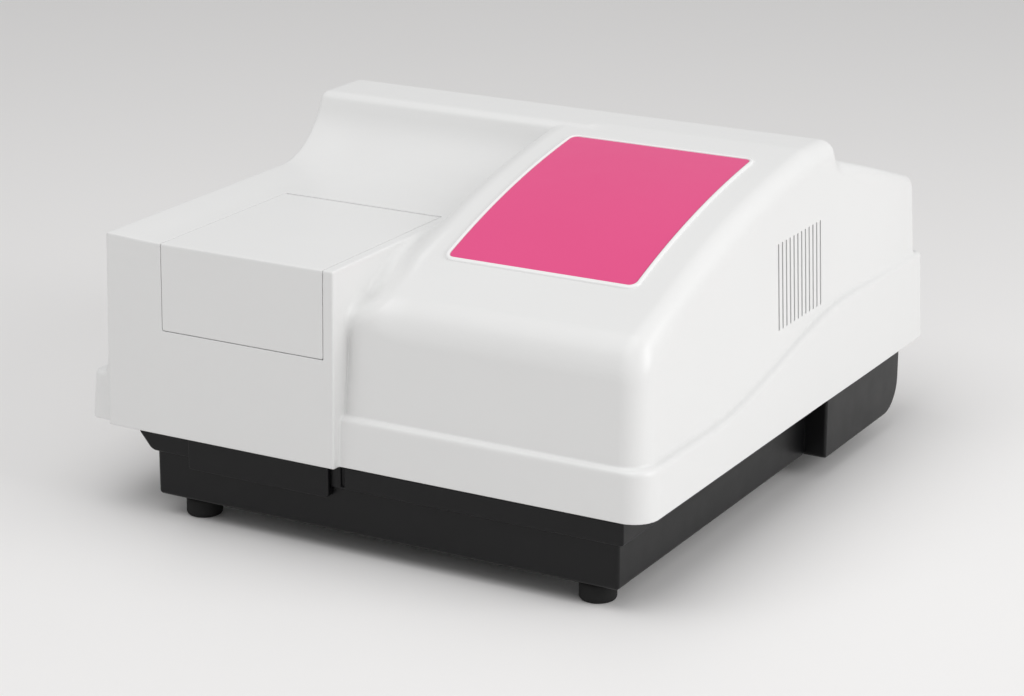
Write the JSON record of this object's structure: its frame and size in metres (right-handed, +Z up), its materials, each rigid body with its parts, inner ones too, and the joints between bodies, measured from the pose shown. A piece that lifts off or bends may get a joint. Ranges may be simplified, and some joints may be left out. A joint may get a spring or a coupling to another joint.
{
  "type": "spectrophotometer",
  "caption": "Bench spectrophotometer: white moulded case with a low hinged sample compartment, sloped console and black base on rubber feet.",
  "frame": {"origin": "centre of the outer box's footprint, on the surface that the feet stand on", "axes": "+Z up, -Y towards the user (front of the instrument), +X to the right as seen from the front"},
  "size_m": [0.5, 0.5412, 0.2833],
  "materials": {
    "casing_white": "satin moulded plastic with a faint texture",
    "bezel_white": "satin",
    "overlay_pink": "printed polyester film",
    "base_black": "satin moulded plastic",
    "well_black": "matt, light absorbing",
    "foot_rubber": "matt",
    "steel": "satin",
    "panel_grey": "powder coat",
    "aluminium": "machined satin",
    "black_plastic": "moulded",
    "mirror": "polished",
    "glass": "clear",
    "board_green": "solder mask"
  },
  "bodies": {
    "body": {"top_casing": "casing_white", "panel_bezel": "bezel_white", "panel_overlay": "overlay_pink", "base_tray": "base_black", "base_front_plate": "base_black", "sample_well": "well_black", "foot_front_left": "foot_rubber", "foot_front_right": "foot_rubber", "foot_rear_left": "foot_rubber", "foot_rear_right": "foot_rubber", "bench_mount_front_left": "foot_rubber", "bench_mount_front_right": "foot_rubber", "bench_mount_rear_left": "foot_rubber", "bench_mount_rear_right": "foot_rubber", "lid_pin_left": "steel", "lid_pin_right": "steel", "fan_guard": "steel", "usb_port": "steel", "serial_port": "steel", "cup_motor": "steel", "detector": "steel", "entrance_slit": "steel", "exit_slit": "steel", "grating_motor": "steel", "filter_motor": "steel", "power_supply": "steel", "rear_panel": "panel_grey", "integrating_sphere": "aluminium", "well_stand": "aluminium", "optical_bench": "aluminium", "lamp_housing": "aluminium", "power_inlet": "black_plastic", "fuse_holder": "black_plastic", "switch_frame": "black_plastic", "fan_frame": "black_plastic", "monochromator_housing": "black_plastic", "monochromator_cover": "black_plastic", "interlock_switch": "black_plastic", "collimating_mirror": "mirror", "focusing_mirror": "mirror", "well_window": "glass", "halogen_lamp": "glass", "condenser_lens": "glass", "main_board": "board_green", "detector_board": "board_green"},
    "lid": {"lid": "casing_white", "lid_baffle": "well_black"},
    "rocker": {"switch_rocker": "black_plastic"},
    "fan_rotor": {"fan_rotor": "black_plastic"},
    "cup": {"cup_turntable": "aluminium", "sample_cup": "aluminium", "cup_glass": "glass"},
    "grating": {"grating_table": "aluminium", "grating": "mirror"},
    "pinion": {"grating_pinion": "steel"},
    "filter_wheel": {"filter_wheel": "aluminium"},
    "plunger": {"interlock_plunger": "bezel_white"}
  },
  "joints": [
    {"name": "lid_hinge", "type": "hinge", "parent": "body", "child": "lid", "pos_m": [-0.0975, -0.094, 0.2265], "axis": [-1, 0, 0], "range_deg": [0, 95]},
    {"name": "power_switch", "type": "hinge", "parent": "body", "child": "rocker", "pos_m": [-0.098, 0.253, 0.128], "axis": [1, 0, 0], "range_deg": [0, 16]},
    {"name": "fan_spin", "type": "hinge", "parent": "body", "child": "fan_rotor", "pos_m": [0.14, 0.2412, 0.134], "axis": [0, 1, 0], "continuous": true},
    {"name": "cup_spin", "type": "hinge", "parent": "body", "child": "cup", "pos_m": [-0.0975, -0.185, 0.158], "axis": [0, 0, 1], "continuous": true},
    {"name": "grating_turn", "type": "hinge", "parent": "body", "child": "grating", "pos_m": [0.078, -0.06, 0.097], "axis": [0, 0, 1], "range_deg": [0, 24]},
    {"name": "pinion_turn", "type": "hinge", "parent": "body", "child": "pinion", "pos_m": [0.024, -0.06, 0.097], "axis": [0, 0, 1], "range_deg": [-120, 0]},
    {"name": "filter_spin", "type": "hinge", "parent": "body", "child": "filter_wheel", "pos_m": [0.17, 0.027, 0.124], "axis": [0, 1, 0], "continuous": true},
    {"name": "interlock_press", "type": "slide", "parent": "body", "child": "plunger", "axis": [0, 0, 1], "range_m": [-0.002, 0], "stiffness_N_per_m": 200, "springref_m": 0.001}
  ],
  "couplings": [
    {"joint": "pinion_turn", "follows": "grating_turn", "ratio": -5}
  ]
}
